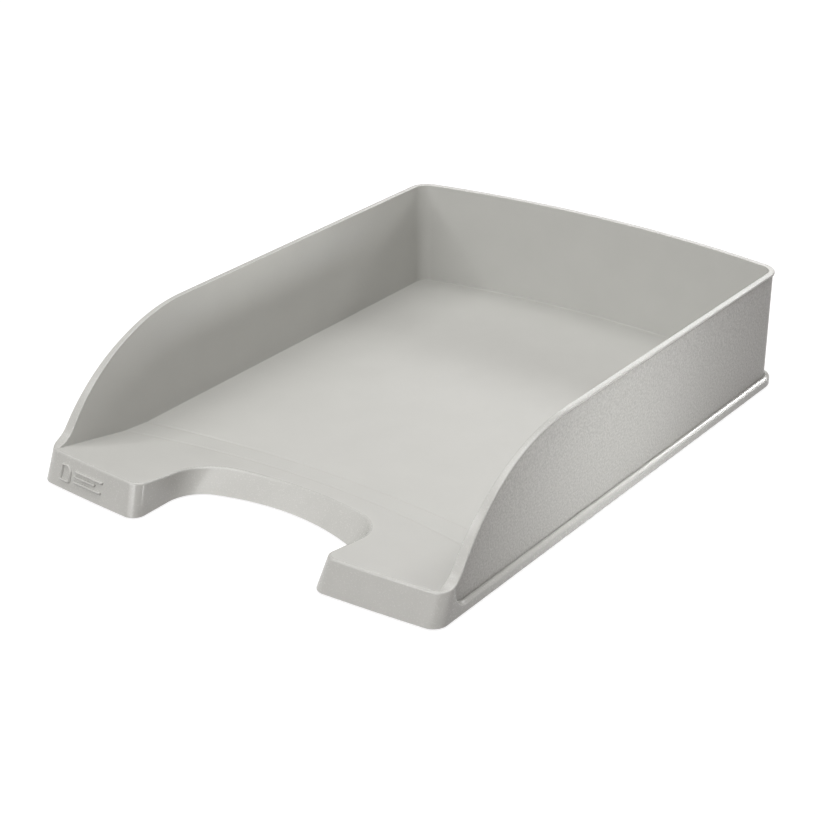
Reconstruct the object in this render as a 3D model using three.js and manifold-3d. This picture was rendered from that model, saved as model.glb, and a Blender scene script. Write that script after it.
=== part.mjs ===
// A stackable A4 letter tray, moulded in one piece, standing on four stick-on anti-slip pads.
// Millimetres, +Z up. X runs across the tray, -Y is the open front with the finger recess.
// The origin is on the table, under the middle of the tray.
import * as THREE from "three";
import { mergeVertices } from "three/addons/utils/BufferGeometryUtils.js";
import Module from "manifold-3d";

// Overall size.
const WIDTH = 255;
const DEPTH = 357;
const HEIGHT = 70;
const HALF_WIDTH = WIDTH / 2;
const HALF_DEPTH = DEPTH / 2;

// Plan outline: the back and the front are arcs, both bulging outwards.
const BACK_RADIUS = 583;
const FRONT_RADIUS = 1310;
const BACK_CORNER = 14.5;
const FRONT_CORNER = 8;
const FRONT_ARC_Y = -HALF_DEPTH - 1.5; // its middle is cut away by the finger recess
const FRONT_SLANT = 0.4; // how far the front face leans back for each millimetre of height

// Heights above the table.
const SKIRT_BOTTOM = 0.8;
const UNDERSIDE = 3.8;
const LEDGE_TOP = 5.1;
const FLOOR_TOP = 6.3;
const CREASE_TOP = 7.8;
const DECK_FRONT_TOP = 17.4;
const FLOOR_THICKNESS = FLOOR_TOP - UNDERSIDE;

// Insets from the outline of the base.
const SKIRT_THICKNESS = 1.6;
const BEAD_INSET = 2.0;
const WALL_OUTER_FOOT = 3.2;
const WALL_OUTER_TOP = 2.7;
const WALL_INNER_FOOT = 6.2;
const WALL_INNER_TOP = 5.2;

// Floor creases, each an arc across the tray: where it crosses the middle, and its radius.
const REAR_CREASE_Y = -87.6;
const REAR_CREASE_RADIUS = 620;
const FRONT_CREASE_Y = -100.7;
const FRONT_CREASE_RADIUS = 460;

// Side wall: its top is level, then falls in one big arc and a small flare to the deck's corner.
const RIM_ARC_Y = -63.4;
const RIM_ARC_RADIUS = 112.5;
const RIM_FLARE_RADIUS = 15;
const BEAD_DEPTH = 2.6;
const BEAD_WIDEST_Y = -159.4;
const BEAD_EVEN_Y = -105;

// Side panel: sunk behind the front block, above the ledge.
const PANEL_FRONT_Y = -159;
const PANEL_CORNER = 9.5;

// Finger recess: its lip on the deck, and its foot at the skirt's lower edge.
const RECESS_LIP = { halfWidth: 59, middleY: -113.6, arc: 180, corner: 26, z: [9, 17] };
const RECESS_FOOT = { halfWidth: 56.5, middleY: -126.4, arc: 125, corner: 21, z: [0.8, 0.8] };
const RECESS_MOUTH_RADIUS = 7;

// Front block: hollow below.
const BLOCK_WALL = 2.4;
const BLOCK_SIDE_INNER = HALF_WIDTH - WALL_OUTER_FOOT - 2.5;
const BLOCK_FRONT_END = -161.4;
const HOLLOW_BACK = -70;

// Anti-slip pads, and the posts and rings moulded under the tray to hold them.
const PAD_RADIUS = 6;
const PAD_TOP = 3.5;
const PAD_CHAMFER = 0.6;
const PAD_X = 104;
const PAD_FRONT_Y = -149;
const PAD_REAR_Y = 146;
const RING_INNER = 6.5;
const RING_OUTER = 7.7;
const RING_BOTTOM = 2;
const POST_RADIUS = 8.5;
const POST_TOP = 12.5;

// Sizes that only make cutting solids pass clear of the tray.
const BEYOND = 20;
const FAR_SIDE = HALF_WIDTH + BEYOND;
const FAR_BACK = HALF_DEPTH + BEYOND;
const FAR_TOP = HEIGHT + BEYOND;

const plastic = new THREE.MeshStandardMaterial({ color: 0xc3c4bf, roughness: 0.45, metalness: 0 });
const rubber = new THREE.MeshStandardMaterial({ color: 0x6f706d, roughness: 0.85, metalness: 0 });

const wasm = await Module();
wasm.setup();

function solid(geometry) {
  const bare = geometry.clone();
  bare.deleteAttribute("normal");
  bare.deleteAttribute("uv");
  const merged = mergeVertices(bare, 1e-4);
  const mesh = new wasm.Mesh({
    numProp: 3,
    vertProperties: merged.attributes.position.array,
    triVerts: new Uint32Array(merged.index.array),
  });
  return new wasm.Manifold(mesh);
}

function geometryOf(manifold) {
  const mesh = manifold.getMesh();
  const geometry = new THREE.BufferGeometry();
  geometry.setAttribute("position", new THREE.BufferAttribute(mesh.vertProperties, 3));
  geometry.setIndex(new THREE.BufferAttribute(mesh.triVerts, 1));
  const faceted = geometry.toNonIndexed();
  faceted.computeVertexNormals();
  return faceted;
}

const planView = (p) => new THREE.Vector2(p.x, p.y);
const sideView = (p) => new THREE.Vector2(p.y, p.z);

// A closed solid through two or more loops of the same number of points. The loops are given
// from the lowest to the highest, or from left to right, and run anticlockwise in their view.
function loft(loops, view = planView) {
  const count = loops[0].length;
  const points = loops.flat();
  const index = [];
  for (let level = 0; level < loops.length - 1; level++) {
    for (let i = 0; i < count; i++) {
      const a = level * count + i;
      const b = level * count + ((i + 1) % count);
      index.push(a, b, b + count, a, b + count, a + count);
    }
  }
  const caps = (loop) => THREE.ShapeUtils.triangulateShape(loop.map(view), []);
  for (const [a, b, c] of caps(loops[0])) index.push(c, b, a);
  const last = (loops.length - 1) * count;
  for (const [a, b, c] of caps(loops.at(-1))) index.push(last + a, last + b, last + c);
  const geometry = new THREE.BufferGeometry().setFromPoints(points);
  geometry.setIndex(index);
  return solid(geometry);
}

const atHeight = (points, z) => points.map((p) => new THREE.Vector3(p.x, p.y, z));

// A prism of a side-view shape, drawn in Y and Z, right across the tray.
function acrossTray(shape, curveSegments = 16) {
  const geometry = new THREE.ExtrudeGeometry(shape, {
    depth: 2 * FAR_SIDE,
    bevelEnabled: false,
    curveSegments,
  });
  geometry.applyMatrix4(
    new THREE.Matrix4().makeBasis(
      new THREE.Vector3(0, 1, 0),
      new THREE.Vector3(0, 0, 1),
      new THREE.Vector3(1, 0, 0),
    ),
  );
  geometry.translate(-FAR_SIDE, 0, 0);
  return solid(geometry);
}

function block(x0, x1, y0, y1, z0, z1) {
  const geometry = new THREE.BoxGeometry(x1 - x0, y1 - y0, z1 - z0);
  geometry.translate((x0 + x1) / 2, (y0 + y1) / 2, (z0 + z1) / 2);
  return solid(geometry);
}

function post(radius, bottom, top, x, y) {
  const geometry = new THREE.CylinderGeometry(radius, radius, top - bottom, 32);
  geometry.rotateX(Math.PI / 2);
  geometry.translate(x, y, (bottom + top) / 2);
  return solid(geometry);
}

// Points along an arc from one angle to another, both ends included.
function arc(x, y, radius, from, to, steps) {
  const points = [];
  for (let i = 0; i <= steps; i++) {
    const angle = from + ((to - from) * i) / steps;
    points.push(new THREE.Vector2(x + radius * Math.cos(angle), y + radius * Math.sin(angle)));
  }
  return points;
}

const mirrored = (points) => points.map((p) => new THREE.Vector2(-p.x, p.y)).reverse();

// The right half of the back's outline, from the side to the middle: corner arc, then the bow.
function backHalf(inset, corner) {
  const centreY = HALF_DEPTH - BACK_RADIUS;
  const radius = BACK_RADIUS - inset;
  const cornerX = HALF_WIDTH - inset - corner;
  const cornerY = centreY + Math.sqrt((radius - corner) ** 2 - cornerX ** 2);
  const tangent = Math.atan2(cornerY - centreY, cornerX);
  return [
    ...arc(cornerX, cornerY, corner, 0, tangent, 7),
    ...arc(0, centreY, radius, tangent, Math.PI / 2, 10).slice(1),
  ];
}

// The right half of the front's outline, from the middle to the side.
function frontHalf(inset, corner, z) {
  const centreY = FRONT_ARC_Y + FRONT_RADIUS + FRONT_SLANT * (z - SKIRT_BOTTOM);
  const radius = FRONT_RADIUS - inset;
  const cornerX = HALF_WIDTH - inset - corner;
  const cornerY = centreY - Math.sqrt((radius - corner) ** 2 - cornerX ** 2);
  const tangent = Math.atan2(cornerY - centreY, cornerX);
  return [
    ...arc(0, centreY, radius, -Math.PI / 2, tangent, 8),
    ...arc(cornerX, cornerY, corner, tangent, 0, 6).slice(1),
  ];
}

const wholeLoop = (rightHalf) => [...rightHalf, ...mirrored(rightHalf).slice(1, -1)];

// The tray's own outline at a height, moved inwards by inset.
function footprint(inset, z) {
  const half = [
    ...frontHalf(inset, FRONT_CORNER - inset, z),
    ...backHalf(inset, BACK_CORNER - inset),
  ];
  return atHeight(wholeLoop(half), z);
}

// An outline with the same back, but open at the front: it runs on past the tray.
function openFront(inset, z, beyond) {
  const front = -HALF_DEPTH - beyond;
  const half = [
    new THREE.Vector2(0, front),
    new THREE.Vector2(HALF_WIDTH - inset, front),
    ...backHalf(inset, BACK_CORNER - inset),
  ];
  return atHeight(wholeLoop(half), z);
}

// Everything below the tray's top surface inside the walls: level floor, short ramp, rising deck.
function belowFloor(drop) {
  const columns = 28;
  const rowsAt = (x) => {
    const rear = REAR_CREASE_Y - x ** 2 / (2 * REAR_CREASE_RADIUS);
    const crease = FRONT_CREASE_Y - x ** 2 / (2 * FRONT_CREASE_RADIUS);
    const lean = FRONT_SLANT * (DECK_FRONT_TOP - SKIRT_BOTTOM);
    const front = FRONT_ARC_Y + lean + x ** 2 / (2 * FRONT_RADIUS);
    const slope = (DECK_FRONT_TOP - CREASE_TOP) / (crease - front);
    return [
      [FAR_BACK, FLOOR_TOP],
      [rear, FLOOR_TOP],
      [crease, CREASE_TOP],
      [front - BEYOND, DECK_FRONT_TOP + slope * BEYOND],
    ];
  };
  const sections = [];
  for (let i = 0; i <= columns; i++) {
    const x = -FAR_SIDE + (2 * FAR_SIDE * i) / columns;
    const rows = rowsAt(x);
    const top = rows.map(([y, z]) => new THREE.Vector3(x, y, z - drop));
    const bottom = [rows.at(-1), rows[0]].map(([y]) => new THREE.Vector3(x, y, -BEYOND));
    sections.push([...top, ...bottom]);
  }
  return loft(sections, sideView);
}

// The top edge of a side wall in side view, from the front to the back, lowered by drop.
function rimLine(drop) {
  const arcCentre = new THREE.Vector2(RIM_ARC_Y, HEIGHT - RIM_ARC_RADIUS);
  const radius = RIM_ARC_RADIUS - drop;
  const low = DECK_FRONT_TOP - drop;
  const flareCentreZ = low + RIM_FLARE_RADIUS;
  const reach = radius + RIM_FLARE_RADIUS;
  const flareCentreY = arcCentre.x - Math.sqrt(reach ** 2 - (flareCentreZ - arcCentre.y) ** 2);
  const meet = Math.atan2(arcCentre.y - flareCentreZ, arcCentre.x - flareCentreY);
  return [
    new THREE.Vector2(-FAR_BACK, low),
    ...arc(flareCentreY, flareCentreZ, RIM_FLARE_RADIUS, -Math.PI / 2, meet, 6),
    ...arc(arcCentre.x, arcCentre.y, radius, meet + Math.PI, Math.PI / 2, 20).slice(1),
    new THREE.Vector2(FAR_BACK, HEIGHT - drop),
  ];
}

function aboveRim() {
  const shape = new THREE.Shape(rimLine(0));
  shape.lineTo(FAR_BACK, FAR_TOP);
  shape.lineTo(-FAR_BACK, FAR_TOP);
  return acrossTray(shape);
}

function beadBand() {
  return acrossTray(new THREE.Shape([...rimLine(0), ...rimLine(BEAD_DEPTH).reverse()]));
}

// The bead along the rim stands a little proud of the wall, and widens at the front block.
function beadPlan() {
  const half = [
    new THREE.Vector2(0, FRONT_ARC_Y),
    new THREE.Vector2(HALF_WIDTH, FRONT_ARC_Y),
    new THREE.Vector2(HALF_WIDTH, BEAD_WIDEST_Y),
    new THREE.Vector2(HALF_WIDTH - BEAD_INSET, BEAD_EVEN_Y),
    ...backHalf(BEAD_INSET, BACK_CORNER - BEAD_INSET),
  ];
  return loft([atHeight(wholeLoop(half), 0), atHeight(wholeLoop(half), FAR_TOP)]);
}

// Space outside the walls, above the ledge and behind the front block.
function outsidePanels(walls) {
  const shape = new THREE.Shape();
  shape.moveTo(FAR_BACK, LEDGE_TOP);
  shape.lineTo(FAR_BACK, FAR_TOP);
  shape.lineTo(PANEL_FRONT_Y, FAR_TOP);
  shape.lineTo(PANEL_FRONT_Y, LEDGE_TOP + PANEL_CORNER);
  shape.absarc(
    PANEL_FRONT_Y + PANEL_CORNER,
    LEDGE_TOP + PANEL_CORNER,
    PANEL_CORNER,
    Math.PI,
    1.5 * Math.PI,
    false,
  );
  return acrossTray(shape, 8).subtract(walls);
}

// One edge of the finger recess, from the middle of the back to the mouth on the right.
function recessEdge(edge, grow) {
  const halfWidth = edge.halfWidth + grow;
  const corner = edge.corner + grow;
  const centreY = edge.middleY - edge.arc;
  const radius = edge.arc + grow;
  const cornerX = halfWidth - corner;
  const cornerY = centreY + Math.sqrt((radius - corner) ** 2 - cornerX ** 2);
  const tangent = Math.atan2(cornerY - centreY, cornerX);
  const mouth = RECESS_MOUTH_RADIUS - grow;
  const frontZ = edge.z[1];
  const lean = FRONT_SLANT * (frontZ - SKIRT_BOTTOM);
  const frontY = FRONT_ARC_Y + lean + halfWidth ** 2 / (2 * FRONT_RADIUS);
  const plan = [
    ...arc(0, centreY, radius, Math.PI / 2, tangent, 8),
    ...arc(cornerX, cornerY, corner, tangent, 0, 9).slice(1),
    ...arc(halfWidth + mouth, frontY + mouth, mouth, Math.PI, 1.5 * Math.PI, 5),
    new THREE.Vector2(halfWidth + mouth, frontY - BEYOND),
  ];
  const [backZ] = edge.z;
  return plan.map((p) => {
    const share = THREE.MathUtils.clamp((p.y - edge.middleY) / (frontY - edge.middleY), 0, 1);
    return new THREE.Vector3(p.x, p.y, THREE.MathUtils.lerp(backZ, frontZ, share));
  });
}

// The finger recess as a cutting solid, its sides straight from foot to lip and on past both.
function fingerRecess(grow) {
  const lip = recessEdge(RECESS_LIP, grow);
  const foot = recessEdge(RECESS_FOOT, grow);
  const along = (share) => {
    const right = lip.map((p, i) => foot[i].clone().lerp(p, share));
    const left = right.map((p) => new THREE.Vector3(-p.x, p.y, p.z)).reverse();
    return [...left.slice(0, -1), ...right].reverse();
  };
  return loft([along(-0.4), along(1.5)]);
}

// The hollow under the tray: shallow inside the skirt, deeper under the front blocks.
function underside() {
  const skirtHollow = loft([
    footprint(SKIRT_THICKNESS, -1),
    footprint(SKIRT_THICKNESS, UNDERSIDE),
  ]);
  const blockHollow = loft([footprint(BLOCK_WALL, -1), footprint(BLOCK_WALL, DECK_FRONT_TOP)]);
  const inner = BLOCK_SIDE_INNER;
  const behind = blockHollow.intersect(block(-inner, inner, -FAR_BACK, HOLLOW_BACK, -2, FAR_TOP));
  const front = blockHollow.intersect(
    block(-FAR_SIDE, FAR_SIDE, -FAR_BACK, BLOCK_FRONT_END, -2, FAR_TOP),
  );
  const deep = behind.add(front).intersect(belowFloor(FLOOR_THICKNESS));
  return skirtHollow.add(deep).subtract(fingerRecess(BLOCK_WALL));
}

const padPlaces = [
  ["front_left", -PAD_X, PAD_FRONT_Y],
  ["front_right", PAD_X, PAD_FRONT_Y],
  ["rear_left", -PAD_X, PAD_REAR_Y],
  ["rear_right", PAD_X, PAD_REAR_Y],
];

// Posts under the front deck, and a locating ring round each pad.
function padSeats() {
  let seats = null;
  for (const [, x, y] of padPlaces) {
    const ring = post(RING_OUTER, RING_BOTTOM, UNDERSIDE + 0.5, x, y).subtract(
      post(RING_INNER, RING_BOTTOM - 1, UNDERSIDE, x, y),
    );
    const top = y === PAD_FRONT_Y ? POST_TOP : UNDERSIDE + 1;
    const seat = ring.add(post(POST_RADIUS, UNDERSIDE, top, x, y));
    seats = seats ? seats.add(seat) : seat;
  }
  return seats;
}

function trayShell() {
  const walls = loft([
    openFront(WALL_OUTER_FOOT, 0, 10),
    openFront(WALL_OUTER_TOP, FAR_TOP, 10),
  ]);
  const cavity = loft([
    openFront(WALL_INNER_FOOT, 0, BEYOND),
    openFront(WALL_INNER_TOP, FAR_TOP, BEYOND),
  ]);
  const outline = loft([footprint(0, SKIRT_BOTTOM), footprint(0, HEIGHT)]);
  const bead = beadPlan().intersect(beadBand()).intersect(outline);
  return outline
    .subtract(outsidePanels(walls))
    .add(bead)
    .subtract(aboveRim())
    .subtract(cavity.subtract(belowFloor(0)))
    .subtract(fingerRecess(0))
    .subtract(underside())
    .add(padSeats());
}

function pad() {
  const profile = [
    new THREE.Vector2(0, 0),
    new THREE.Vector2(PAD_RADIUS - PAD_CHAMFER, 0),
    new THREE.Vector2(PAD_RADIUS, PAD_CHAMFER),
    new THREE.Vector2(PAD_RADIUS, PAD_TOP),
    new THREE.Vector2(0, PAD_TOP),
  ];
  const geometry = new THREE.LatheGeometry(profile, 32);
  geometry.rotateX(Math.PI / 2);
  return geometryOf(solid(geometry));
}

const tray = new THREE.Group();

const shell = new THREE.Mesh(geometryOf(trayShell()), plastic);
shell.name = "tray_shell";
tray.add(shell);

for (const [place, x, y] of padPlaces) {
  const mesh = new THREE.Mesh(pad(), rubber);
  mesh.name = `${place}_anti_slip_pad`;
  mesh.position.set(x, y, 0);
  tray.add(mesh);
}

export default tray;
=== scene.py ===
"""A one-piece A4 letter tray on four anti-slip pads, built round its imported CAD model.

Sizes are in millimetres until a mesh is made, in the row's frame: X to the right, Y from the open
front to the back wall, Z up, the origin on the table under the middle of the tray.
The tray is one closed mesh. Its walls, front blocks and finger recess are bands of quads that
follow the outline of the right half and are mirrored. The floor and the underside close it.
"""

import math

import bmesh
import bpy
import numpy as np
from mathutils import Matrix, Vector
from mathutils.geometry import delaunay_2d_cdt


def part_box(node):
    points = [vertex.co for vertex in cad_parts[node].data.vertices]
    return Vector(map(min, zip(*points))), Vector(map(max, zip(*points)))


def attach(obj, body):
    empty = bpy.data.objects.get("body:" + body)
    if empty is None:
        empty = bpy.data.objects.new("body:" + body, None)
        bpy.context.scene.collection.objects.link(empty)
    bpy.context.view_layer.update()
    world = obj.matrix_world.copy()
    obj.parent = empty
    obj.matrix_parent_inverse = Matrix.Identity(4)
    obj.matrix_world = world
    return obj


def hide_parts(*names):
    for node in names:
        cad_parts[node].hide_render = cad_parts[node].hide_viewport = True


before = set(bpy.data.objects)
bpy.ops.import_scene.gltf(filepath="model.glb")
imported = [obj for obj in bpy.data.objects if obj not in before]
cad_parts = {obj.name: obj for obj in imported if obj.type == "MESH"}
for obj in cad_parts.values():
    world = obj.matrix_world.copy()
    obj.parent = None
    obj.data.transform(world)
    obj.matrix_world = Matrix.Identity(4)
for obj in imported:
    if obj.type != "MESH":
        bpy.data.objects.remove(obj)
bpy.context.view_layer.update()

MM = 0.001

# Overall size, from the CAD model.
shell_low, shell_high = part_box("tray_shell")
HALF_WIDTH = shell_high.x / MM
HALF_DEPTH = shell_high.y / MM
HEIGHT = shell_high.z / MM
SKIRT_BOTTOM = shell_low.z / MM

# Plan outline: the back and the front are arcs, both bulging outwards.
BACK_RADIUS = 583
BACK_CORNER = 14.5
FRONT_RADIUS = 1310
FRONT_ARC_Y = -HALF_DEPTH - 1.5  # its middle is cut away by the finger recess
FRONT_CORNER = 8
FRONT_SLANT = 0.4  # how far the front face leans back for each millimetre of height

# Heights above the table.
UNDERSIDE = 3.8
LEDGE_TOP = 5.1
FLOOR_TOP = 6.3
CREASE_TOP = 7.8
DECK_FRONT_TOP = 17.4

# Insets from the outline. Both wall faces lean with their draft.
WALL_OUTER_FOOT = 3.25
WALL_OUTER_DRAFT = 0.5 / 90
WALL_INNER_FOOT = 6.2
WALL_INNER_DRAFT = 1.0 / 90
BEAD_INSET = 2.0
BEAD_EVEN_Y = -105

# Floor creases: where each crosses the middle, its radius, and how softly it turns.
REAR_CREASE_Y = -87.6
REAR_CREASE_RADIUS = 620
FRONT_CREASE_Y = -100.7
FRONT_CREASE_RADIUS = 460
CREASE_SOFTNESS = 0.06
CREASE_GROOVE = 0.28
CREASE_GROOVE_WIDTH = 0.75

# The rim in side view: level, then one big arc, then a flare down to the corner of the deck.
RIM_ARC_Y = -63.4
RIM_ARC_RADIUS = 112.5
RIM_FLARE_RADIUS = 15
RIM_END_Y = -159.9

# The outside panel's front edge curves up from the ledge.
PANEL_CORNER = 9.5
BOTTOM_LEAN = 0.53

# Finger recess: its lip on the deck, and its foot at the skirt's lower edge.
RECESS_LIP = {"half_width": 59, "middle_y": -113.6, "arc": 180, "corner": 26}
RECESS_FOOT = {"half_width": 56.5, "middle_y": -126.4, "arc": 125, "corner": 21}
RECESS_MOUTH = 7

# Rounded edges: how far each reaches from its sharp corner.
BOTTOM_EDGE = 0.35
LEDGE_EDGE = 0.9
RIM_EDGE = 0.7
RIM_INNER_EDGE = 0.5
TOP_EDGE = 1.2
FLOOR_FILLET = 0.4

# The bead stands out from the wall: how far down its face and its underside end.
BEAD_FACE = 1.3
BEAD_UNDER = 2.5

# The ledge behind its rounded edge: distance in, and height above the ledge's top.
LEDGE_SECTION = [
    (2.0, 0.62),
    (2.1, 0.6),
    (2.2, 0.42),
    (2.34, 0.4),
    (2.46, 0.62),
    (2.6, 0.9),
    (2.78, 0.94),
    (2.92, 0.72),
    (3.02, 0.3),
    (3.12, 0.15),
    (WALL_OUTER_FOOT, 0.15),
]

WALL_SKIN = 1.6
BLOCK_SKIN = 2.4
HOLLOW_SIDE = (118.5, 121.5)
FLOOR_MARGIN = 0.7
SEAM_MARGIN = 0.15

# Anti-slip pads, in rings below the four corners. The front pair sits on taller bosses.
PAD_X = 104
PAD_FRONT_Y = -149
PAD_REAR_Y = 146
PAD_RADIUS = 6
PAD_TOP = 3.5
PAD_EDGE = 0.8
RING_INNER = 6.5
RING_OUTER = 7.7
RING_BOTTOM = 2
POST_RADIUS = 8.5
POST_TOP = 12.5

# The plain sign on the left front block.
MARK_LEFT = -113.5
MARK_BOTTOM = 5.2
MARK_PAGE_WIDTH = 6.5
MARK_PAGE_HEIGHT = 7.4
MARK_HALF_WIDTH = 0.75
MARK_HEIGHT = 1.2

# Materials of the tray's mesh, by index.
SATIN, GRAINED, SMOOTH = 0, 1, 2

# Linear colours.
TRAY_COLOUR = (0.45, 0.452, 0.428)
PAD_COLOUR = (0.14, 0.14, 0.137)
FLOOR_COLOUR = (0.3, 0.3, 0.3)
FLOOR_GLOW = 0.78
BACKDROP_GLOW = 0.9
WORLD_COLOUR = (1.0, 0.9, 0.9)
WORLD_STRENGTH = 0.23

# The view: degrees round from the front and above the table, and metres.
VIEW_AZIMUTH = 36.15
VIEW_ELEVATION = 25.79
VIEW_DISTANCE = 1.0768
VIEW_AIM = (0.0002, -0.0232, 0.02)
LENS = 87.82


def unit(vectors):
    return vectors / np.linalg.norm(vectors, axis=-1, keepdims=True)


def smoothstep(low, high, value):
    share = np.clip((value - low) / (high - low), 0, 1)
    return share * share * (3 - 2 * share)


def in_space(plan, z):
    """Points in space from plan points and their heights."""
    return np.column_stack([plan[:, :2], np.broadcast_to(z, len(plan))])


def column(values):
    return np.reshape(values, (-1, 1))


def soft_max(a, b, softness):
    overlap = np.maximum(softness - np.abs(a - b), 0) / softness
    return np.maximum(a, b) + overlap**2 * softness / 4


def front_y(x, z):
    """Where the front face is, at a distance from the middle and a height."""
    return FRONT_ARC_Y + x**2 / (2 * FRONT_RADIUS) + FRONT_SLANT * (z - SKIRT_BOTTOM)


def deck_height(plan):
    """The top surface inside the walls: level floor, short ramp, rising deck."""
    x, y = plan[:, 0], plan[:, 1]
    rear = REAR_CREASE_Y - x**2 / (2 * REAR_CREASE_RADIUS)
    crease = FRONT_CREASE_Y - x**2 / (2 * FRONT_CREASE_RADIUS)
    front = front_y(x, DECK_FRONT_TOP)
    ramp = FLOOR_TOP + (rear - y) * (CREASE_TOP - FLOOR_TOP) / (rear - crease)
    deck = CREASE_TOP + (crease - y) * (DECK_FRONT_TOP - CREASE_TOP) / (crease - front)
    surface = soft_max(soft_max(ramp, FLOOR_TOP, CREASE_SOFTNESS), deck, CREASE_SOFTNESS)
    grooves = sum(np.exp(-(((y - line) / CREASE_GROOVE_WIDTH) ** 2)) for line in (rear, crease))
    return surface - CREASE_GROOVE * grooves


def under_height(plan):
    """The underside: level, and hollow under the front deck."""
    hollow = 1 - smoothstep(*HOLLOW_SIDE, np.abs(plan[:, 0]))
    return UNDERSIDE + hollow * np.maximum(deck_height(plan) - FLOOR_TOP, 0)


def arc(centre, radius, start, end, steps):
    """Points along an arc, and the directions away from its centre. Angles in radians."""
    angles = np.linspace(start, end, steps + 1)
    outwards = np.column_stack([np.cos(angles), np.sin(angles)])
    return np.array(centre) + radius * outwards, outwards


def straight(start, end, steps, direction):
    share = np.linspace(0, 1, steps + 1)[:, None]
    points = np.array(start) * (1 - share) + np.array(end) * share
    return points, np.tile(np.array(direction, float), (steps + 1, 1))


def chain(*runs):
    """Runs of points with directions, joined where each starts on the last one's end."""
    points = [runs[0][0], *[run[0][1:] for run in runs[1:]]]
    directions = [runs[0][1], *[run[1][1:] for run in runs[1:]]]
    return np.vstack(points), unit(np.vstack(directions))


def resample(points, directions, steps):
    """The same line with its stations spread evenly along its length."""
    pieces = np.linalg.norm(np.diff(points, axis=0), axis=1)
    lengths = np.concatenate([[0], np.cumsum(pieces)])
    wanted = np.linspace(0, lengths[-1], steps + 1)
    spread = [np.interp(wanted, lengths, values) for values in (*points.T, *directions.T)]
    both = np.column_stack(spread)
    return both[:, :2], unit(both[:, 2:])


def rounded(start, corner, end, steps=4):
    """Rows of a rounded edge from start to end, round its sharp corner."""
    shares = np.linspace(0, 1, steps + 1)
    return [start * (1 - t) ** 2 + corner * 2 * t * (1 - t) + end * t**2 for t in shares]


def ruled(start, end, steps):
    """Rows evenly spread from one row to another, both ends included."""
    return [start + (end - start) * i / steps for i in range(steps + 1)]


class Shell:
    """Faces gathered for one mesh, with a material index for each."""

    def __init__(self):
        self.vertices = []
        self.faces = []
        self.materials = []

    def add(self, points, faces, material):
        base = len(self.vertices)
        self.vertices.extend(map(tuple, points))
        self.faces.extend([tuple(base + i for i in face) for face in faces])
        self.materials.extend([material] * len(faces))

    def band(self, rows, material=SATIN):
        """A band of quads through rows of stations, and its mirror image in X."""
        count = len(rows[0])
        points = np.vstack(rows)
        faces = []
        for row in range(len(rows) - 1):
            for i in range(count - 1):
                a = row * count + i
                faces.append((a, a + count, a + count + 1, a + 1))
        self.add(points, faces, material)
        self.add(points * [-1, 1, 1], [face[::-1] for face in faces], material)

    def sheet(self, half_outline, inside, height, material=SATIN):
        """A surface given by its height in plan, inside an outline and its mirror image."""
        left = half_outline[::-1][1:-1] * [-1, 1, 1]
        outline = np.vstack([half_outline, left])
        count = len(outline)
        plan = [Vector(p[:2]) for p in (*outline, *clear_of(inside, outline))]
        edges = [(i, (i + 1) % count) for i in range(count)]
        made = delaunay_2d_cdt(plan, edges, [list(range(count))], 1, 1e-5)
        flat = np.array([tuple(v) for v in made[0]])
        points = in_space(flat, height(flat))
        for i, sources in enumerate(made[3]):
            edge = [s for s in sources if s < count]
            if edge:
                points[i] = outline[edge[0]]
        self.add(points, [tuple(face) for face in made[2]], material)

    def lathe(self, profile, x, y, closed=False, steps=40, material=SATIN):
        """A solid of revolution about an upright axis; its profile is closed or ends on it."""
        turns = np.linspace(0, 2 * math.pi, steps, endpoint=False)
        points = [(x + r * math.cos(t), y + r * math.sin(t), z) for r, z in profile for t in turns]
        rows = len(profile)
        faces = []
        for row in range(rows if closed else rows - 1):
            for i in range(steps):
                j = (i + 1) % steps
                a, b = row * steps, (row + 1) % rows * steps
                faces.append((a + i, a + j, b + j, b + i))
        self.add(points, faces, material)

    def object(self, name, materials, sharp_degrees=40):
        mesh = bpy.data.meshes.new(name)
        mesh.from_pydata(np.array(self.vertices) * MM, [], self.faces)
        mesh.polygons.foreach_set("material_index", self.materials)
        built = bmesh.new()
        built.from_mesh(mesh)
        bmesh.ops.remove_doubles(built, verts=built.verts, dist=2e-6)
        bmesh.ops.dissolve_degenerate(built, edges=built.edges, dist=1e-6)
        bmesh.ops.recalc_face_normals(built, faces=built.faces)
        built.to_mesh(mesh)
        built.free()
        mesh.polygons.foreach_set("use_smooth", [True] * len(mesh.polygons))
        mesh.set_sharp_from_angle(angle=math.radians(sharp_degrees))
        for material in materials:
            mesh.materials.append(material)
        piece = bpy.data.objects.new(name, mesh)
        bpy.context.scene.collection.objects.link(piece)
        weighted = piece.modifiers.new("even_shading", "WEIGHTED_NORMAL")
        weighted.keep_sharp = True
        return piece


def clear_of(points, outline, gap=0.3):
    """The points that lie further than a gap from every side of an outline."""
    start = outline[:, :2]
    side = np.roll(start, -1, axis=0) - start
    kept = []
    for p in points:
        share = np.clip(((p - start) * side).sum(1) / (side**2).sum(1), 0, 1)
        nearest = start + side * share[:, None]
        if np.linalg.norm(nearest - p, axis=1).min() > gap:
            kept.append(p)
    return kept


def rim_circles():
    """Centres (Y, Z) of the rim's big arc and of its flare, and the angle where they meet."""
    big = (RIM_ARC_Y, HEIGHT - RIM_ARC_RADIUS)
    flare_z = DECK_FRONT_TOP + RIM_FLARE_RADIUS
    reach = RIM_ARC_RADIUS + RIM_FLARE_RADIUS
    flare_y = RIM_ARC_Y - math.sqrt(reach**2 - (flare_z - big[1]) ** 2)
    return big, (flare_y, flare_z), math.atan2(flare_z - big[1], flare_y - RIM_ARC_Y)


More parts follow.
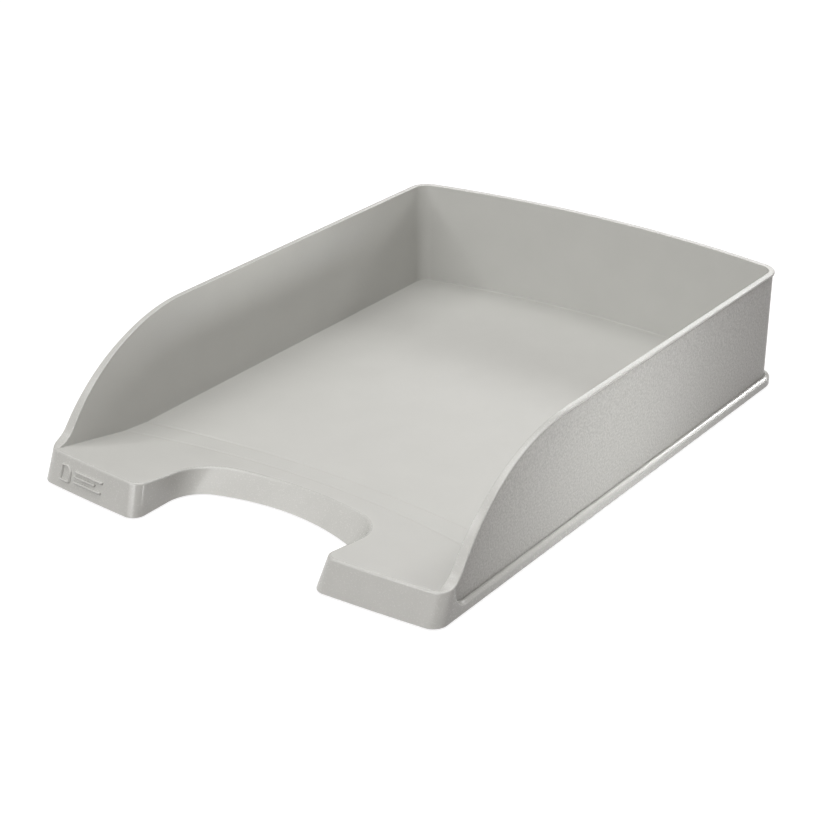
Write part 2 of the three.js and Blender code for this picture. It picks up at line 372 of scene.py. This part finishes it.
def rim_height(y):
    """The height of the rim's top along the side."""
    big, flare, meet = rim_circles()
    drop = np.minimum(y - RIM_ARC_Y, 0)
    arched = big[1] + np.sqrt(np.maximum(RIM_ARC_RADIUS**2 - drop**2, 0))
    along = np.clip(y - flare[0], 0, RIM_FLARE_RADIUS)
    flared = flare[1] - np.sqrt(RIM_FLARE_RADIUS**2 - along**2)
    return np.where(y > big[0] + RIM_ARC_RADIUS * math.cos(meet), arched, flared)


def rim_curve(steps):
    """The rim in side view, from the end of its level part to its front end, with normals."""
    big, flare, meet = rim_circles()
    arched, up = arc(big, RIM_ARC_RADIUS, math.pi / 2, meet, 60)
    end = -math.acos((RIM_END_Y - flare[0]) / RIM_FLARE_RADIUS)
    flared, down = arc(flare, RIM_FLARE_RADIUS, meet - math.pi, end, 12)
    return resample(*chain((arched, up), (flared, -down)), steps)


def wall_stations():
    """Stations from the middle of the back, round the side, to the rim's front end.

    Each has a point on the rim and one on the ledge's contour, which curves up at the front.
    """
    centre_y = HALF_DEPTH - BACK_RADIUS
    corner_x = HALF_WIDTH - BACK_CORNER
    corner_y = centre_y + math.sqrt((BACK_RADIUS - BACK_CORNER) ** 2 - corner_x**2)
    tangent = math.atan2(corner_y - centre_y, corner_x)
    bow = arc((0, centre_y), BACK_RADIUS, math.pi / 2, tangent, 36)
    corner = arc((corner_x, corner_y), BACK_CORNER, tangent, 0, 16)
    side = straight((HALF_WIDTH, corner_y), (HALF_WIDTH, RIM_ARC_Y), 30, (1, 0))
    plan, outwards = chain(bow, corner, side)

    rim_yz, rim_up = rim_curve(50)
    end = rim_yz[-1] - BEAD_FACE * rim_up[-1]
    curve_centre = (end[0] + PANEL_CORNER, LEDGE_TOP + PANEL_CORNER)
    level = straight((RIM_ARC_Y, LEDGE_TOP), (curve_centre[0], LEDGE_TOP), 32, (0, 1))
    curve, away = arc(curve_centre, PANEL_CORNER, -math.pi / 2, -math.pi, 14)
    upright = straight(curve[-1], end, 4, (1, 0))
    foot_yz, foot_up = chain(level, (curve, -away), upright)

    def in_side_plane(values, x):
        return np.column_stack([np.full(len(values) - 1, x), values[1:]])

    def level_then(values, x, level_values):
        return np.vstack([level_values, in_side_plane(values, x)])

    up = np.tile([0.0, 0.0, 1.0], (len(plan), 1))
    inwards = np.vstack([-outwards, np.tile([-1.0, 0.0], (len(rim_yz) - 1, 1))])
    return {
        "inwards": in_space(inwards, 0.0),
        "foot": level_then(foot_yz, HALF_WIDTH, in_space(plan, LEDGE_TOP)),
        "foot_up": level_then(foot_up, 0.0, up),
        "rim": level_then(rim_yz, HALF_WIDTH, in_space(plan, HEIGHT)),
        "rim_up": level_then(rim_up, 0.0, up),
    }


def edge_line(recess, z):
    """The block's and the recess's outline at a height: plan points and inward directions."""
    centre_y = FRONT_ARC_Y + FRONT_RADIUS + FRONT_SLANT * (z - SKIRT_BOTTOM)
    corner_x = HALF_WIDTH - FRONT_CORNER
    corner_y = centre_y - math.sqrt((FRONT_RADIUS - FRONT_CORNER) ** 2 - corner_x**2)
    tangent = math.atan2(corner_y - centre_y, corner_x)
    seam = -math.acos((corner_x_of_inner_wall() - corner_x) / (FRONT_CORNER - TOP_EDGE))
    mouth_angle = -math.acos((recess["half_width"] + RECESS_MOUTH) / (FRONT_RADIUS - RECESS_MOUTH))
    mouth_y = centre_y + (FRONT_RADIUS - RECESS_MOUTH) * math.sin(mouth_angle)
    rear_y = recess["middle_y"] - recess["arc"]
    turn_x = recess["half_width"] - recess["corner"]
    turn_y = rear_y + math.sqrt((recess["arc"] - recess["corner"]) ** 2 - turn_x**2)
    turn_angle = math.atan2(turn_y - rear_y, turn_x)

    def inside(run):
        return run[0], -run[1]

    return chain(
        inside(arc((corner_x, corner_y), FRONT_CORNER, 0, seam, SEAM_STEPS)),
        inside(arc((corner_x, corner_y), FRONT_CORNER, seam, tangent, 3)),
        inside(arc((0, centre_y), FRONT_RADIUS, tangent, mouth_angle, 16)),
        inside(
            arc(
                (recess["half_width"] + RECESS_MOUTH, mouth_y),
                RECESS_MOUTH,
                mouth_angle,
                -math.pi,
                10,
            )
        ),
        straight(
            (recess["half_width"], mouth_y), (recess["half_width"], turn_y), 10, (1, 0)
        ),
        arc((turn_x, turn_y), recess["corner"], 0, turn_angle, 16),
        arc((0, rear_y), recess["arc"], turn_angle, math.pi / 2, 16),
    )


SEAM_STEPS = 12


def outer_inset(z):
    return WALL_OUTER_FOOT - WALL_OUTER_DRAFT * z


def inner_inset(z):
    return WALL_INNER_FOOT - WALL_INNER_DRAFT * z


def corner_x_of_inner_wall():
    return HALF_WIDTH - inner_inset(DECK_FRONT_TOP)


def skirt_rows(bottom, inwards, top):
    """From the skirt's lower edge, with its small round, up its outer face."""
    rise = unit(top - bottom) * BOTTOM_EDGE
    edge = rounded(bottom + inwards * BOTTOM_EDGE, bottom, bottom + rise, 3)
    return [*edge, *ruled(edge[-1], top, 5)[1:]]


def wall_bands(shell, s):
    """Skirt, ledge, outer panel and bead. Returns the rows that the front block carries on."""
    inwards, foot, rim, rim_up = s["inwards"], s["foot"], s["rim"], s["rim_up"]

    def ledge(distance, height):
        return foot + inwards * distance + s["foot_up"] * height

    def at_rim(inset, height):
        return rim + inwards * column(inset) + rim_up * height

    bottom = in_space(foot, SKIRT_BOTTOM)
    bottom[:, 1] -= BOTTOM_LEAN * (foot[:, 2] - LEDGE_TOP)
    edge_start = ledge(0, -LEDGE_EDGE)
    skirt = skirt_rows(bottom, inwards, edge_start)
    shell.band(skirt, SMOOTH)

    steady = np.clip((rim[:, 1] - BEAD_EVEN_Y) / (RIM_END_Y - BEAD_EVEN_Y), 0, 1)
    bead = BEAD_INSET * (1 - steady**1.3)
    wall_top = at_rim(outer_inset(rim[:, 2] - BEAD_UNDER), -BEAD_UNDER)
    bead_low = at_rim(bead, -BEAD_FACE)
    bead_edge = at_rim(bead, -RIM_EDGE)

    # At the front end the bead's underside closes onto the upright end of the ledge.
    ledge_rows = rounded(edge_start, ledge(0, 0), ledge(LEDGE_EDGE, 0))
    ledge_rows += [ledge(distance, height) for distance, height in LEDGE_SECTION]
    bead_low[-1] = edge_start[-1]
    under = ruled(wall_top, bead_low, len(ledge_rows) - 1)
    slope = (BEAD_UNDER - BEAD_FACE) / WALL_OUTER_FOOT
    for row, under_row in zip(ledge_rows, reversed(under)):
        row[-1] -= rim_up[-1] * slope * (HALF_WIDTH - row[-1, 0])
        under_row[-1] = row[-1]
    wall_top[-1] = ledge_rows[-1][-1]
    shell.band(ledge_rows, SMOOTH)
    shell.band(ruled(ledge_rows[-1], wall_top, 8), GRAINED)
    shell.band(under, SMOOTH)
    edge = rounded(bead_edge, at_rim(bead, 0), at_rim(bead + RIM_EDGE, 0))
    face = [bead_low, *edge]
    shell.band(face, SMOOTH)
    return bottom, skirt, face


def block_stations():
    """The front block's and the recess's upper and lower sharp edges, with inward directions."""
    top_plan, top_in = edge_line(RECESS_LIP, DECK_FRONT_TOP)
    foot_plan, foot_in = edge_line(RECESS_FOOT, SKIRT_BOTTOM)
    top = in_space(top_plan, deck_height(top_plan))
    top[: SEAM_STEPS + 1, 2] = rim_height(top_plan[: SEAM_STEPS + 1, 1])
    return {
        "top": top[1:],
        "top_in": in_space(top_in, 0.0)[1:],
        "foot": in_space(foot_plan, SKIRT_BOTTOM)[1:],
        "foot_in": in_space(foot_in, 0.0)[1:],
    }


def block_bands(shell, b, wall_skirt, wall_face):
    """Outer face of the block and the recess, and its rounded upper edge."""
    down = unit(b["foot"] - b["top"])
    count = len(down)
    reach = np.full(count, TOP_EDGE)
    share = np.arange(1, SEAM_STEPS + 1) / SEAM_STEPS
    reach[:SEAM_STEPS] = RIM_EDGE + (TOP_EDGE - RIM_EDGE) * share
    low = b["top"] + down * BEAD_FACE
    start = b["top"] + down * column(reach)
    end = b["top"] + b["top_in"] * column(reach)
    end[:, 2] = deck_height(end)
    on_rim = slice(0, SEAM_STEPS)
    settle = smoothstep(0.6, 1.0, share)
    end[on_rim, 2] += (rim_height(end[on_rim, 1]) - end[on_rim, 2]) * (1 - settle)
    skirt = skirt_rows(b["foot"], b["foot_in"], low)
    face = [low, *rounded(start, b["top"], end)]

    def carried_on(wall_rows, block_rows):
        return [np.vstack([w[-1:], r]) for w, r in zip(wall_rows, block_rows)]

    shell.band(carried_on(wall_skirt, skirt), SMOOTH)
    shell.band(carried_on(wall_face, face), SMOOTH)
    return end


def inner_bands(shell, s, wall_edge, block_edge):
    """Rim top, inner wall and the fillet to the floor. Returns the row where the floor starts."""
    wall_count = len(wall_edge)
    outer = np.vstack([wall_edge, block_edge[:SEAM_STEPS]])
    inwards = np.vstack([s["inwards"], np.tile([-1.0, 0.0, 0.0], (SEAM_STEPS, 1))])
    share = np.concatenate([np.zeros(wall_count), np.arange(1, SEAM_STEPS + 1) / SEAM_STEPS])
    seam = block_edge[SEAM_STEPS - 1]

    base = np.vstack([s["rim"], np.tile(s["rim"][-1], (SEAM_STEPS, 1))])
    base[:, 1] += share * (seam[1] - base[:, 1])
    base[wall_count:, 2] = rim_height(base[wall_count:, 1])
    corner = base + inwards * column(inner_inset(base[:, 2]))
    foot = base + inwards * WALL_INNER_FOOT
    foot[:, 2] = deck_height(foot)
    foot = base + inwards * column(inner_inset(foot[:, 2]))
    foot[:, 2] = deck_height(foot)
    fade = column(smoothstep(0.5, 1.0, share))
    corner = corner * (1 - fade) + np.column_stack([corner[:, :2], foot[:, 2]]) * fade
    corner[-1] = seam
    foot[-1] = seam

    height = corner[:, 2] - foot[:, 2]
    top_reach = column(np.minimum(RIM_INNER_EDGE, 0.4 * height))
    foot_reach = column(np.minimum(FLOOR_FILLET, 0.4 * height))
    up = np.array([0.0, 0.0, 1.0])
    top = rounded(corner - inwards * top_reach, corner, corner - up * top_reach, 4)
    fillet_end = foot + inwards * foot_reach
    fillet_end[:, 2] = deck_height(fillet_end)
    fillet_end[-1] = seam
    fillet = rounded(foot + up * foot_reach, foot, fillet_end, 4)
    shell.band(ruled(outer, top[0], 3), SMOOTH)
    shell.band(top, SMOOTH)
    shell.band(ruled(top[-1], fillet[0], 8))
    shell.band(fillet)
    margin = SEAM_MARGIN + (FLOOR_MARGIN - SEAM_MARGIN) * (1 - share)
    floor_edge = fillet_end + inwards * column(margin)
    floor_edge[:, 2] = deck_height(floor_edge)
    return fillet[-1], floor_edge


def floor_points(spacing):
    """Plan points that carry the floor's shape: both creases, and a coarse grid."""
    points = []
    for x in np.arange(-121, 122, 3):
        rear = REAR_CREASE_Y - x**2 / (2 * REAR_CREASE_RADIUS)
        crease = FRONT_CREASE_Y - x**2 / (2 * FRONT_CREASE_RADIUS)
        for offset in (-2.0, -1.4, -0.9, -0.45, 0.0, 0.45, 0.9, 1.4, 2.0):
            points.append((x, rear + offset))
            points.append((x, crease + offset))
    for x in np.arange(-120, 121, spacing):
        for y in np.arange(-160, 171, spacing):
            points.append((x, y))
    return np.array(points, float)


def tray_mesh():
    shell = Shell()
    s = wall_stations()
    bottom, skirt, face = wall_bands(shell, s)
    b = block_stations()
    block_edge = block_bands(shell, b, skirt, face)
    fillet_end, floor_edge = inner_bands(shell, s, face[-1], block_edge)

    # The strip of floor or deck next to every edge, then the floor itself.
    edge = np.vstack([fillet_end, block_edge[SEAM_STEPS:]])
    past_seam = block_edge[SEAM_STEPS - 1 :]
    widen = smoothstep(0, 6, np.arange(len(past_seam)))
    width = SEAM_MARGIN + (FLOOR_MARGIN - SEAM_MARGIN) * widen
    margin = past_seam + b["top_in"][SEAM_STEPS - 1 :] * column(width)
    margin[:, 2] = deck_height(margin)
    inner = np.vstack([floor_edge[:-1], margin])
    shell.band([edge, inner])
    shell.sheet(inner, floor_points(20), deck_height)

    # Underside: the flat lower edge, the skirt's inner face, then the hollow itself.
    count = len(bottom)
    lower = np.vstack([bottom, b["foot"]])
    inwards = np.vstack([s["inwards"], b["foot_in"]])
    slope = unit(b["top"] - b["foot"])[:, 2]
    skin = np.concatenate([np.full(count, WALL_SKIN), BLOCK_SKIN / slope])
    skin[:count] += (BLOCK_SKIN - WALL_SKIN) * smoothstep(LEDGE_TOP, 15, s["foot"][:, 2])
    start = lower + inwards * BOTTOM_EDGE
    inner_foot = lower + inwards * column(skin)
    cap = inner_foot.copy()
    cap_in = np.vstack([s["inwards"], b["top_in"]])
    lip = np.vstack([bottom, b["top"]])
    for _ in range(3):
        cap[:, 2] = under_height(cap)
        rise = (cap[:, 2] - SKIRT_BOTTOM) / np.maximum(lip[:, 2] - SKIRT_BOTTOM, 1e-6)
        rise[:count] = 0
        cap = lower + (lip - lower) * column(rise) + cap_in * column(skin)
    cap[:, 2] = under_height(cap)
    shell.band([start, inner_foot])
    shell.band(ruled(inner_foot, cap, 3))
    hollow_points = [(x, y) for x in (*HOLLOW_SIDE, 119.5, 120.5) for y in range(-170, 171, 5)]
    mirrored = [(-x, y) for x, y in hollow_points]
    shell.sheet(cap, np.vstack([floor_points(20), hollow_points, mirrored]), under_height)
    for x in (-PAD_X, PAD_X):
        for y in (PAD_FRONT_Y, PAD_REAR_Y):
            pad_seat(shell, x, y)
    page_mark(shell)
    return shell


def pad_seat(shell, x, y):
    """The ring that holds a pad, and the boss above it that reaches the tray's floor."""
    root = POST_TOP if y == PAD_FRONT_Y else UNDERSIDE + 0.5
    edge = 0.25
    ring = [
        (RING_INNER, UNDERSIDE),
        (RING_INNER, RING_BOTTOM + edge),
        (RING_INNER + edge, RING_BOTTOM),
        (RING_OUTER - edge, RING_BOTTOM),
        (RING_OUTER, RING_BOTTOM + edge),
        (RING_OUTER, UNDERSIDE - 0.4),
        (RING_OUTER + 0.15, UNDERSIDE - 0.15),
        (POST_RADIUS, UNDERSIDE),
        (POST_RADIUS, root),
        (0, root),
    ]
    shell.lathe([(0, UNDERSIDE), *ring], x, y)


def on_front(x, z, height):
    """A point standing off the front face by a height."""
    normal = unit(np.array([x / FRONT_RADIUS, -1.0, FRONT_SLANT]))
    return np.array([x, front_y(x, z), z]) + normal * height


def page_mark(shell):
    """A plain sign in low relief on the left block: a sheet of paper and three bars."""
    left, right = MARK_LEFT, MARK_LEFT + MARK_PAGE_WIDTH
    low, high = MARK_BOTTOM, MARK_BOTTOM + MARK_PAGE_HEIGHT
    fold = 2.2
    page = [
        (left, low),
        (right, low),
        (right, high - fold),
        (right - fold, high),
        (left, high),
        (left, low),
    ]
    ridge(shell, page, closed=True)
    start = right + 3.2
    for z, length in ((high - 1.2, 21), ((low + high) / 2, 16), (low + 1.2, 21)):
        ridge(shell, [(start, z), (start + length, z)], closed=False)


def ridge(shell, corners, closed):
    """A low round ridge along a line on the front face."""
    corners = np.array(corners, float)
    lengths = np.concatenate([[0], np.cumsum(np.linalg.norm(np.diff(corners, axis=0), axis=1))])
    count = int(lengths[-1] / 0.4) + 1
    wanted = np.linspace(0, lengths[-1], count)
    path = np.column_stack([np.interp(wanted, lengths, c) for c in corners.T])
    if closed:
        before, after = np.roll(path[:-1], 1, axis=0), np.roll(path[:-1], -1, axis=0)
        path = path[:-1] * 0.5 + (before + after) * 0.25
        along = unit(np.roll(path, -1, axis=0) - np.roll(path, 1, axis=0))
        swell = np.ones(len(path))
    else:
        along = unit(np.gradient(path, axis=0))
        to_end = np.minimum(wanted, lengths[-1] - wanted) / MARK_HALF_WIDTH
        swell = np.sqrt(np.clip(to_end * (2 - to_end), 0, 1))
        swell[to_end >= 1] = 1
    across = np.column_stack([-along[:, 1], along[:, 0]])
    turns = np.linspace(0, 2 * math.pi, 12, endpoint=False)
    points = []
    for middle, side, size in zip(path, across, swell):
        for turn in turns:
            x, z = middle + side * MARK_HALF_WIDTH * size * math.cos(turn)
            lift = MARK_HEIGHT * math.sin(turn) if math.sin(turn) > 0 else 0.3 * math.sin(turn)
            points.append(on_front(x, z, lift * size))
    rows = len(path)
    faces = []
    for i in range(rows if closed else rows - 1):
        for j in range(len(turns)):
            a, b = i * len(turns), (i + 1) % rows * len(turns)
            k = (j + 1) % len(turns)
            faces.append((a + j, a + k, b + k, b + j))
    shell.add(np.array(points), faces, SMOOTH)


def pad(name, x, y):
    """One round anti-slip pad: a button with a rounded, slightly hollow foot."""
    profile = [(0, 0.25), (PAD_RADIUS - 2.4, 0.22), (PAD_RADIUS - 1.7, 0.0)]
    turns = np.linspace(-math.pi / 2, 0, 7)
    inner = PAD_RADIUS - PAD_EDGE
    profile += [
        (inner + PAD_EDGE * math.cos(turn), PAD_EDGE * (1 + math.sin(turn))) for turn in turns
    ]
    profile += [(PAD_RADIUS, PAD_TOP - 0.2), (PAD_RADIUS - 0.2, PAD_TOP), (0, PAD_TOP)]
    shell = Shell()
    shell.lathe(profile, x, y, steps=48)
    return shell.object(name, [pad_rubber()], 50)


class Nodes:
    """A material's node tree, with one Principled shader."""

    def __init__(self, name, colour, roughness, specular):
        self.material = bpy.data.materials.new(name)
        self.material.use_nodes = True
        self.tree = self.material.node_tree
        self.shader = self.tree.nodes["Principled BSDF"]
        self.set("Base Color", (*colour, 1))
        self.set("Roughness", roughness)
        self.set("Specular IOR Level", specular)
        self.place = self.tree.nodes.new("ShaderNodeTexCoord").outputs["Object"]

    def set(self, socket, value):
        self.shader.inputs[socket].default_value = value

    def link(self, source, target):
        self.tree.links.new(source, target)

    def noise(self, size_mm, detail=2.0, roughness=0.5):
        """Noise whose blotches are about that size."""
        node = self.tree.nodes.new("ShaderNodeTexNoise")
        node.inputs["Scale"].default_value = 1 / (size_mm * MM)
        node.inputs["Detail"].default_value = detail
        node.inputs["Roughness"].default_value = roughness
        self.link(self.place, node.inputs["Vector"])
        return node.outputs["Fac"]

    def cells(self, size_mm):
        """Soft cells of about that size, as left in a spark-eroded mould."""
        node = self.tree.nodes.new("ShaderNodeTexVoronoi")
        node.feature = "SMOOTH_F1"
        node.inputs["Scale"].default_value = 1 / (size_mm * MM)
        self.link(self.place, node.inputs["Vector"])
        return node.outputs["Distance"]

    def ranged(self, value, low, high, from_low=0.3, from_high=0.7):
        node = self.tree.nodes.new("ShaderNodeMapRange")
        node.inputs["From Min"].default_value = from_low
        node.inputs["From Max"].default_value = from_high
        node.inputs["To Min"].default_value = low
        node.inputs["To Max"].default_value = high
        self.link(value, node.inputs["Value"])
        return node.outputs["Result"]

    def blend_colour(self, factor, first, second):
        node = self.tree.nodes.new("ShaderNodeMix")
        node.data_type = "RGBA"
        node.inputs["A"].default_value = (*first, 1)
        node.inputs["B"].default_value = (*second, 1)
        self.link(factor, node.inputs["Factor"])
        self.link(node.outputs["Result"], self.shader.inputs["Base Color"])

    def bump(self, height, distance_mm, strength, onto=None):
        node = self.tree.nodes.new("ShaderNodeBump")
        node.inputs["Strength"].default_value = strength
        node.inputs["Distance"].default_value = distance_mm * MM
        self.link(height, node.inputs["Height"])
        if onto:
            self.link(onto, node.inputs["Normal"])
        self.link(node.outputs["Normal"], self.shader.inputs["Normal"])
        return node.outputs["Normal"]


def shade(colour, factor):
    return tuple(channel * factor for channel in colour)


def satin_plastic():
    """The tray's inside: a fine satin surface, very slightly clouded."""
    made = Nodes("tray_plastic_satin", TRAY_COLOUR, 0.45, 0.5)
    clouds = made.noise(24, 3)
    factor = made.ranged(clouds, 0, 1)
    made.blend_colour(factor, shade(TRAY_COLOUR, 0.985), shade(TRAY_COLOUR, 1.015))
    fine = made.noise(0.45, 3, 0.6)
    made.link(made.ranged(fine, 0.42, 0.52), made.shader.inputs["Roughness"])
    slow = made.bump(made.noise(60, 1), 0.12, 0.25)
    made.bump(fine, 0.02, 0.35, onto=slow)
    return made.material


def grained_plastic():
    """The outside panels: spark-eroded grain."""
    made = Nodes("tray_plastic_grained", TRAY_COLOUR, 0.5, 0.5)
    grain = made.noise(1.1, 3, 0.6)
    factor = made.ranged(grain, 0, 1, 0.36, 0.64)
    made.blend_colour(factor, shade(TRAY_COLOUR, 0.84), shade(TRAY_COLOUR, 1.1))
    made.link(made.ranged(grain, 0.5, 0.36), made.shader.inputs["Roughness"])
    coarse = made.bump(made.cells(2.2), 0.2, 0.6)
    made.bump(grain, 0.2, 0.8, onto=coarse)
    return made.material


def smooth_plastic():
    """The rim, ledge, skirt and front: semi-gloss, with the faintest texture."""
    made = Nodes("tray_plastic_smooth", TRAY_COLOUR, 0.25, 0.6)
    clouds = made.noise(9, 3)
    factor = made.ranged(clouds, 0, 1)
    made.blend_colour(factor, shade(TRAY_COLOUR, 0.98), shade(TRAY_COLOUR, 1.02))
    fine = made.noise(0.8, 3, 0.6)
    made.link(made.ranged(fine, 0.2, 0.3), made.shader.inputs["Roughness"])
    made.bump(fine, 0.015, 0.3)
    return made.material


def pad_rubber():
    made = Nodes("pad_rubber", PAD_COLOUR, 0.8, 0.3)
    clouds = made.ranged(made.noise(3, 3), 0, 1)
    made.blend_colour(clouds, shade(PAD_COLOUR, 0.9), shade(PAD_COLOUR, 1.1))
    fine = made.noise(0.3, 2)
    made.link(made.ranged(fine, 0.72, 0.88), made.shader.inputs["Roughness"])
    made.bump(fine, 0.03, 0.5)
    return made.material


def floor_paint():
    made = Nodes("studio_floor", FLOOR_COLOUR, 0.9, 0.1)
    made.link(made.ranged(made.noise(40, 2), 0.86, 0.94), made.shader.inputs["Roughness"])
    made.set("Emission Color", (1, 1, 1, 1))
    made.set("Emission Strength", FLOOR_GLOW)
    return made.material


def studio_backdrop():
    """A white dome, far outside the lights. Only the camera sees it."""
    mesh = bpy.data.meshes.new("studio_backdrop")
    dome = bmesh.new()
    bmesh.ops.create_uvsphere(dome, u_segments=48, v_segments=24, radius=8)
    dome.to_mesh(mesh)
    dome.free()
    mesh.materials.append(backdrop_paint())
    backdrop = bpy.data.objects.new("studio_backdrop", mesh)
    bpy.context.scene.collection.objects.link(backdrop)
    backdrop.visible_diffuse = False
    backdrop.visible_glossy = False
    backdrop.visible_shadow = False


def backdrop_paint():
    made = Nodes("studio_backdrop", (0, 0, 0), 1, 0)
    made.set("Emission Color", (1, 1, 1, 1))
    made.set("Emission Strength", BACKDROP_GLOW)
    return made.material


def studio_floor():
    half = 10
    mesh = bpy.data.meshes.new("studio_floor")
    corners = [(-half, -half, 0), (half, -half, 0), (half, half, 0), (-half, half, 0)]
    mesh.from_pydata(corners, [], [(0, 1, 2, 3)])
    mesh.materials.append(floor_paint())
    floor = bpy.data.objects.new("studio_floor", mesh)
    bpy.context.scene.collection.objects.link(floor)
    # Its white would flood the undersides and lower faces, so it lights nothing itself.
    floor.visible_diffuse = False


def soft_light(name, place, aim, size, watts, spread_degrees=180):
    light = bpy.data.lights.new(name, "AREA")
    light.shape = "RECTANGLE"
    light.size, light.size_y = size
    light.energy = watts
    light.spread = math.radians(spread_degrees)
    lamp = bpy.data.objects.new(name, light)
    lamp.location = place
    lamp.rotation_euler = (Vector(aim) - Vector(place)).to_track_quat("-Z", "Y").to_euler()
    lamp.visible_camera = False
    bpy.context.scene.collection.objects.link(lamp)


def studio():
    world = bpy.data.worlds.new("studio")
    world.use_nodes = True
    background = world.node_tree.nodes["Background"]
    background.inputs["Color"].default_value = (*WORLD_COLOUR, 1)
    background.inputs["Strength"].default_value = WORLD_STRENGTH
    bpy.context.scene.world = world
    middle = (0, 0, 0)
    soft_light("overhead", (0.05, 0.15, 2.0), middle, (2.4, 1.6), 32)
    soft_light("front", (0, -2.2, 1.1), middle, (2.0, 1.0), 37)
    soft_light("front_left", (-1.1, -0.9, 1.5), middle, (0.3, 0.3), 4.5)
    soft_light("back_left", (-0.8, 1.7, 0.9), middle, (0.9, 0.3), 3.5)
    soft_light("back_right", (0.45, 1.75, 1.05), (0.127, 0.1, 0), (0.4, 0.35), 11)
    soft_light("right", (1.1, -0.06, 0.12), (0.124, -0.015, 0.035), (0.15, 0.15), 0.075, 16)
    bpy.context.scene.view_settings.view_transform = "Standard"
    bpy.context.scene.view_settings.look = "None"


def camera():
    """Seen from the front right, from above."""
    azimuth, elevation = math.radians(VIEW_AZIMUTH), math.radians(VIEW_ELEVATION)
    back = Vector(
        (
            math.sin(azimuth) * math.cos(elevation),
            -math.cos(azimuth) * math.cos(elevation),
            math.sin(elevation),
        )
    )
    data = bpy.data.cameras.new("camera")
    data.lens = LENS
    data.sensor_width = 36
    seen_from = bpy.data.objects.new("camera", data)
    seen_from.location = Vector(VIEW_AIM) + back * VIEW_DISTANCE
    seen_from.rotation_euler = back.to_track_quat("Z", "Y").to_euler()
    bpy.context.scene.collection.objects.link(seen_from)
    bpy.context.scene.camera = seen_from


def build_tray():
    finishes = [satin_plastic(), grained_plastic(), smooth_plastic()]
    tray = tray_mesh().object("tray", finishes)
    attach(tray, "root")
    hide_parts("tray_shell")


def build_pads():
    for end, y in (("front", PAD_FRONT_Y), ("rear", PAD_REAR_Y)):
        for side, x in (("left", -PAD_X), ("right", PAD_X)):
            made = pad(f"{end}_{side}_pad", x, y)
            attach(made, "root")
            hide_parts(f"{end}_{side}_anti_slip_pad")


build_tray()
build_pads()
studio_floor()
studio_backdrop()
studio()
camera()
